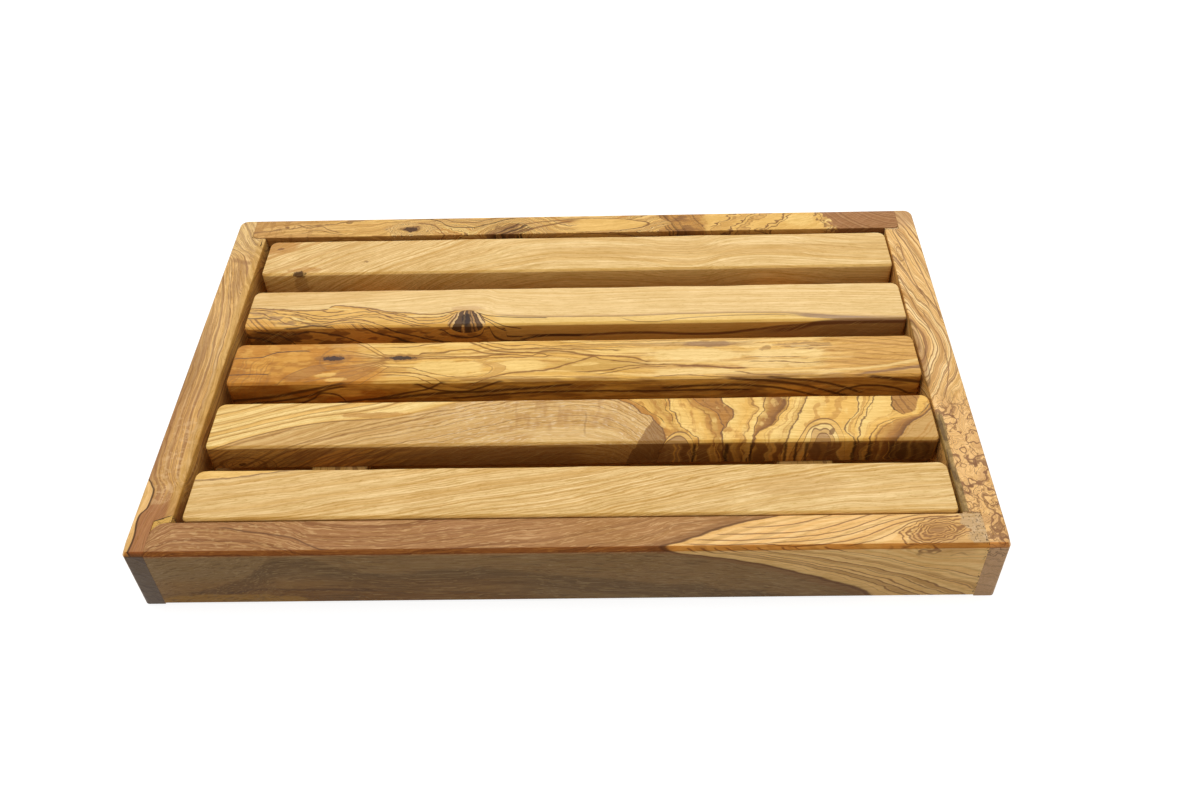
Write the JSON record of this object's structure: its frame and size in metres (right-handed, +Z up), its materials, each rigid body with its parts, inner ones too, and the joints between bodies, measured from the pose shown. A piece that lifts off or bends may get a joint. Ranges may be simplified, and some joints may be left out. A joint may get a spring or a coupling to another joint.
{
  "type": "bread board with crumb catcher",
  "caption": "Shallow wooden box holding a loose rack of slats: bread is cut on the slats, crumbs fall through into the box, and the rack lifts out to empty it.",
  "frame": {"origin": "middle of the box's footprint, on the surface it stands on", "axes": "+X to the right along the slats, +Y to the back, +Z up"},
  "size_m": [0.4, 0.25, 0.038],
  "materials": {
    "side_rail_left": "oiled olive wood",
    "side_rail_right": "oiled olive wood",
    "front_rail": "oiled olive wood",
    "back_rail": "oiled olive wood",
    "slat_1": "oiled olive wood",
    "slat_2": "oiled olive wood",
    "slat_3": "oiled olive wood",
    "slat_4": "oiled olive wood",
    "slat_5": "oiled olive wood",
    "battens": "oiled olive wood",
    "floor": "oiled olive wood",
    "filler": "dry wood filler of glue and dust",
    "dowels": "plain beech",
    "screws": "zinc plated"
  },
  "bodies": {
    "tray": {"side_rail_left": "side_rail_left", "side_rail_right": "side_rail_right", "front_rail": "front_rail", "back_rail": "back_rail", "floor_board_1": "floor", "floor_board_2": "floor", "floor_board_3": "floor", "filler_front_left": "filler", "filler_front_right": "filler", "filler_back_left": "filler", "filler_back_right": "filler", "dowels_front_left": "dowels", "dowels_front_right": "dowels", "dowels_back_left": "dowels", "dowels_back_right": "dowels"},
    "rack": {"slat_1": "slat_1", "slat_2": "slat_2", "slat_3": "slat_3", "slat_4": "slat_4", "slat_5": "slat_5", "batten_left": "battens", "batten_right": "battens", "screws_left": "screws", "screws_right": "screws"}
  },
  "joints": [
    {"name": "rack_lift", "type": "slide", "parent": "tray", "child": "rack", "axis": [0, 0, 1], "range_m": [0, 0.06]}
  ]
}
